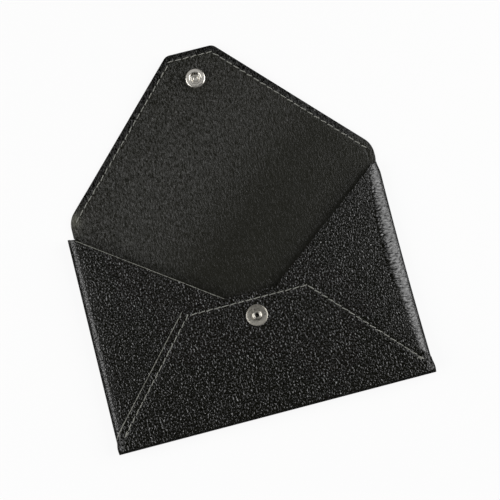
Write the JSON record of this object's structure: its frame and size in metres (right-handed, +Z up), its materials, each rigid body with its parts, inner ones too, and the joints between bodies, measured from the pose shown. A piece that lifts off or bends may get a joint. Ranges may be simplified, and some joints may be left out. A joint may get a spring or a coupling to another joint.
{
  "type": "document wallet",
  "caption": "Flat leather envelope pocket for documents, with folded-in side flaps sewn under a front flap and a pointed closing flap that folds over and fastens with a press snap.",
  "frame": {"origin": "middle of the back panel's resting face, under the middle of the pocket", "axes": "+X across the wallet to the right, +Y from the bottom fold towards the flap's tip, +Z up from the face that it rests on"},
  "size_m": [0.14, 0.1641, 0.01],
  "materials": {
    "outer_leather": "black pebble grain, glazed",
    "lining_leather": "dark fine grain, satin",
    "thread": "pale grey twisted sewing thread",
    "nickel": "bright nickel plate on pressed brass",
    "spring_wire": "drawn spring wire"
  },
  "bodies": {
    "pocket": {"back_panel": "outer_leather", "pocket_lining": "lining_leather", "left_side_flap": "outer_leather", "right_side_flap": "outer_leather", "front_flap": "outer_leather", "front_seam_thread": "thread", "front_seam_under_thread": "thread", "fold_leather": "outer_leather", "fold_lining": "lining_leather", "snap_stud": "nickel", "snap_stud_post": "nickel"},
    "flap": {"flap_leather": "outer_leather", "flap_lining": "lining_leather", "flap_seam_thread": "thread", "flap_seam_under_thread": "thread", "snap_socket": "nickel", "snap_springs": "spring_wire", "snap_cap": "nickel", "snap_cap_post": "nickel"}
  },
  "joints": [
    {"name": "flap_fold", "type": "hinge", "parent": "pocket", "child": "flap", "pos_m": [0, 0.0492, 0.00592], "axis": [1, 0, 0], "range_deg": [0, 177.87], "deforming": ["fold_leather", "fold_lining", "snap_springs"]}
  ]
}
